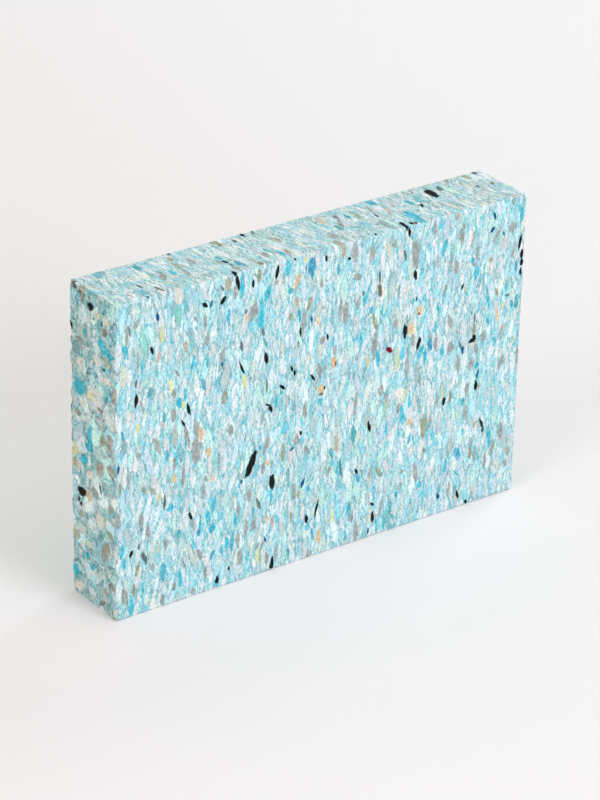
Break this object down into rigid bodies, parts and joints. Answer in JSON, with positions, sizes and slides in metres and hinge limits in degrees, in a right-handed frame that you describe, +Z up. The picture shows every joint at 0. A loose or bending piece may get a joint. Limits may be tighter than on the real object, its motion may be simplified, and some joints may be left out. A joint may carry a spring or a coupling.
{
  "type": "foam block",
  "caption": "Upright slab of chip foam with sawn flat sides and a lumpy moulded end, used as a firm but soft support or prop.",
  "frame": {"origin": "middle of the long narrow side that the block stands on", "axes": "+X along the length towards the sawn end, +Y from the front broad side to the back one, +Z up"},
  "size_m": [0.305, 0.0474, 0.206],
  "materials": {
    "chip_foam": "matt open-cell foam, a mosaic of pale blue, white and grey chips with a few black, yellow and peach ones"
  },
  "bodies": {
    "root": {"foam_block": "chip_foam"}
  },
  "joints": []
}
